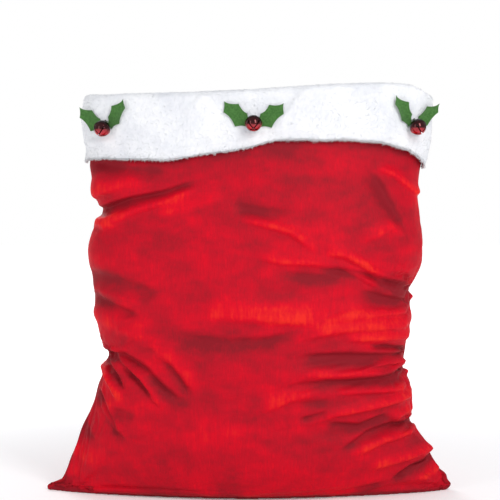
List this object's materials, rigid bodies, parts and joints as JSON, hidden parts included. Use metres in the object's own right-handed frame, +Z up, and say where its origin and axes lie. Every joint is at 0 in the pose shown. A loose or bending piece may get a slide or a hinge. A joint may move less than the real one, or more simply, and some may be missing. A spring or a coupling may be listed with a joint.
{
  "type": "fabric gift sack",
  "caption": "Large soft fabric sack standing open: velour panels, a turned-down plush cuff at the mouth, and felt holly leaves with hanging jingle bells on the cuff.",
  "frame": {"origin": "on the floor, under the middle of the sack's overall box", "axes": "+Z up to the mouth, -Y to the front with the ornaments, +X to the right as seen from the front"},
  "size_m": [0.8901, 0.3238, 0.8988],
  "materials": {
    "velour": "velvet nap",
    "plush": "short pile",
    "felt": "matt felt",
    "thread": "matt",
    "bell_metal": "glossy lacquer",
    "steel": "plain"
  },
  "bodies": {
    "sack": {"front_panel": "velour", "back_panel": "velour", "side_seam_left": "velour", "side_seam_right": "velour", "bottom_seam": "velour", "cuff_front": "plush", "cuff_back": "plush", "mouth_stitching": "thread", "left_holly_stitches": "thread", "middle_holly_stitches": "thread", "right_holly_stitches": "thread"},
    "left_leaf_a": {"left_holly_leaf_a": "felt"},
    "left_leaf_b": {"left_holly_leaf_b": "felt"},
    "left_tie": {"left_bell_tie": "thread"},
    "left_bell": {"left_bell_loop": "bell_metal", "left_bell_cap": "bell_metal", "left_bell_bowl": "bell_metal"},
    "left_pellet": {"left_bell_pellet": "steel"},
    "middle_leaf_a": {"middle_holly_leaf_a": "felt"},
    "middle_leaf_b": {"middle_holly_leaf_b": "felt"},
    "middle_tie": {"middle_bell_tie": "thread"},
    "middle_bell": {"middle_bell_loop": "bell_metal", "middle_bell_cap": "bell_metal", "middle_bell_bowl": "bell_metal"},
    "middle_pellet": {"middle_bell_pellet": "steel"},
    "right_leaf_a": {"right_holly_leaf_a": "felt"},
    "right_leaf_b": {"right_holly_leaf_b": "felt"},
    "right_tie": {"right_bell_tie": "thread"},
    "right_bell": {"right_bell_loop": "bell_metal", "right_bell_cap": "bell_metal", "right_bell_bowl": "bell_metal"},
    "right_pellet": {"right_bell_pellet": "steel"}
  },
  "joints": [
    {"name": "left_leaf_a_flap", "type": "hinge", "parent": "sack", "child": "left_leaf_a", "pos_m": [-0.31131, -0.07147, 0.79879], "axis": [0.535, -0.2091, 0.8186], "range_deg": [0, 18], "stiffness_Nm_per_rad": 0.01},
    {"name": "left_leaf_b_flap", "type": "hinge", "parent": "sack", "child": "left_leaf_b", "pos_m": [-0.29588, -0.07835, 0.80207], "axis": [0.7549, -0.366, -0.5442], "range_deg": [0, 18], "stiffness_Nm_per_rad": 0.01},
    {"name": "left_bell_sway", "type": "hinge", "parent": "sack", "child": "left_tie", "pos_m": [-0.30532, -0.07935, 0.81492], "axis": [-0.4136, -0.9097, 0.038], "range_deg": [-20, 20]},
    {"name": "left_bell_swing", "type": "hinge", "parent": "left_tie", "child": "left_bell", "pos_m": [-0.30532, -0.07935, 0.81492], "axis": [-0.9103, 0.4139, 0], "range_deg": [0, 50]},
    {"name": "left_pellet_rattle", "type": "slide", "parent": "left_bell", "child": "left_pellet", "axis": [0.0157, 0.0346, 0.9993], "range_m": [0, 0.025]},
    {"name": "middle_leaf_a_flap", "type": "hinge", "parent": "sack", "child": "middle_leaf_a", "pos_m": [0.00328, -0.11538, 0.80833], "axis": [0.6164, 0.1018, 0.7808], "range_deg": [0, 18], "stiffness_Nm_per_rad": 0.01},
    {"name": "middle_leaf_b_flap", "type": "hinge", "parent": "sack", "child": "middle_leaf_b", "pos_m": [0.02071, -0.11557, 0.80788], "axis": [0.5727, -0.1149, -0.8116], "range_deg": [0, 18], "stiffness_Nm_per_rad": 0.01},
    {"name": "middle_bell_sway", "type": "hinge", "parent": "sack", "child": "middle_tie", "pos_m": [0.01197, -0.11861, 0.82439], "axis": [-0.0074, -0.9908, 0.1351], "range_deg": [-20, 20]},
    {"name": "middle_bell_swing", "type": "hinge", "parent": "middle_tie", "child": "middle_bell", "pos_m": [0.01197, -0.11861, 0.82439], "axis": [-1, 0.0075, 0], "range_deg": [0, 50]},
    {"name": "middle_pellet_rattle", "type": "slide", "parent": "middle_bell", "child": "middle_pellet", "axis": [0.001, 0.1351, 0.9908], "range_m": [0, 0.025]},
    {"name": "right_leaf_a_flap", "type": "hinge", "parent": "sack", "child": "right_leaf_a", "pos_m": [0.34717, -0.07436, 0.80522], "axis": [0.7357, 0.4229, 0.5291], "range_deg": [0, 18], "stiffness_Nm_per_rad": 0.01},
    {"name": "right_leaf_b_flap", "type": "hinge", "parent": "sack", "child": "right_leaf_b", "pos_m": [0.36212, -0.06661, 0.80211], "axis": [0.5518, 0.2441, -0.7975], "range_deg": [0, 18], "stiffness_Nm_per_rad": 0.01},
    {"name": "right_bell_sway", "type": "hinge", "parent": "sack", "child": "right_tie", "pos_m": [0.35651, -0.07463, 0.81801], "axis": [0.4681, -0.882, 0.054], "range_deg": [-20, 20]},
    {"name": "right_bell_swing", "type": "hinge", "parent": "right_tie", "child": "right_bell", "pos_m": [0.35651, -0.07463, 0.81801], "axis": [-0.8833, -0.4688, 0], "range_deg": [0, 50]},
    {"name": "right_pellet_rattle", "type": "slide", "parent": "right_bell", "child": "right_pellet", "axis": [-0.0253, 0.0477, 0.9985], "range_m": [0, 0.025]}
  ]
}
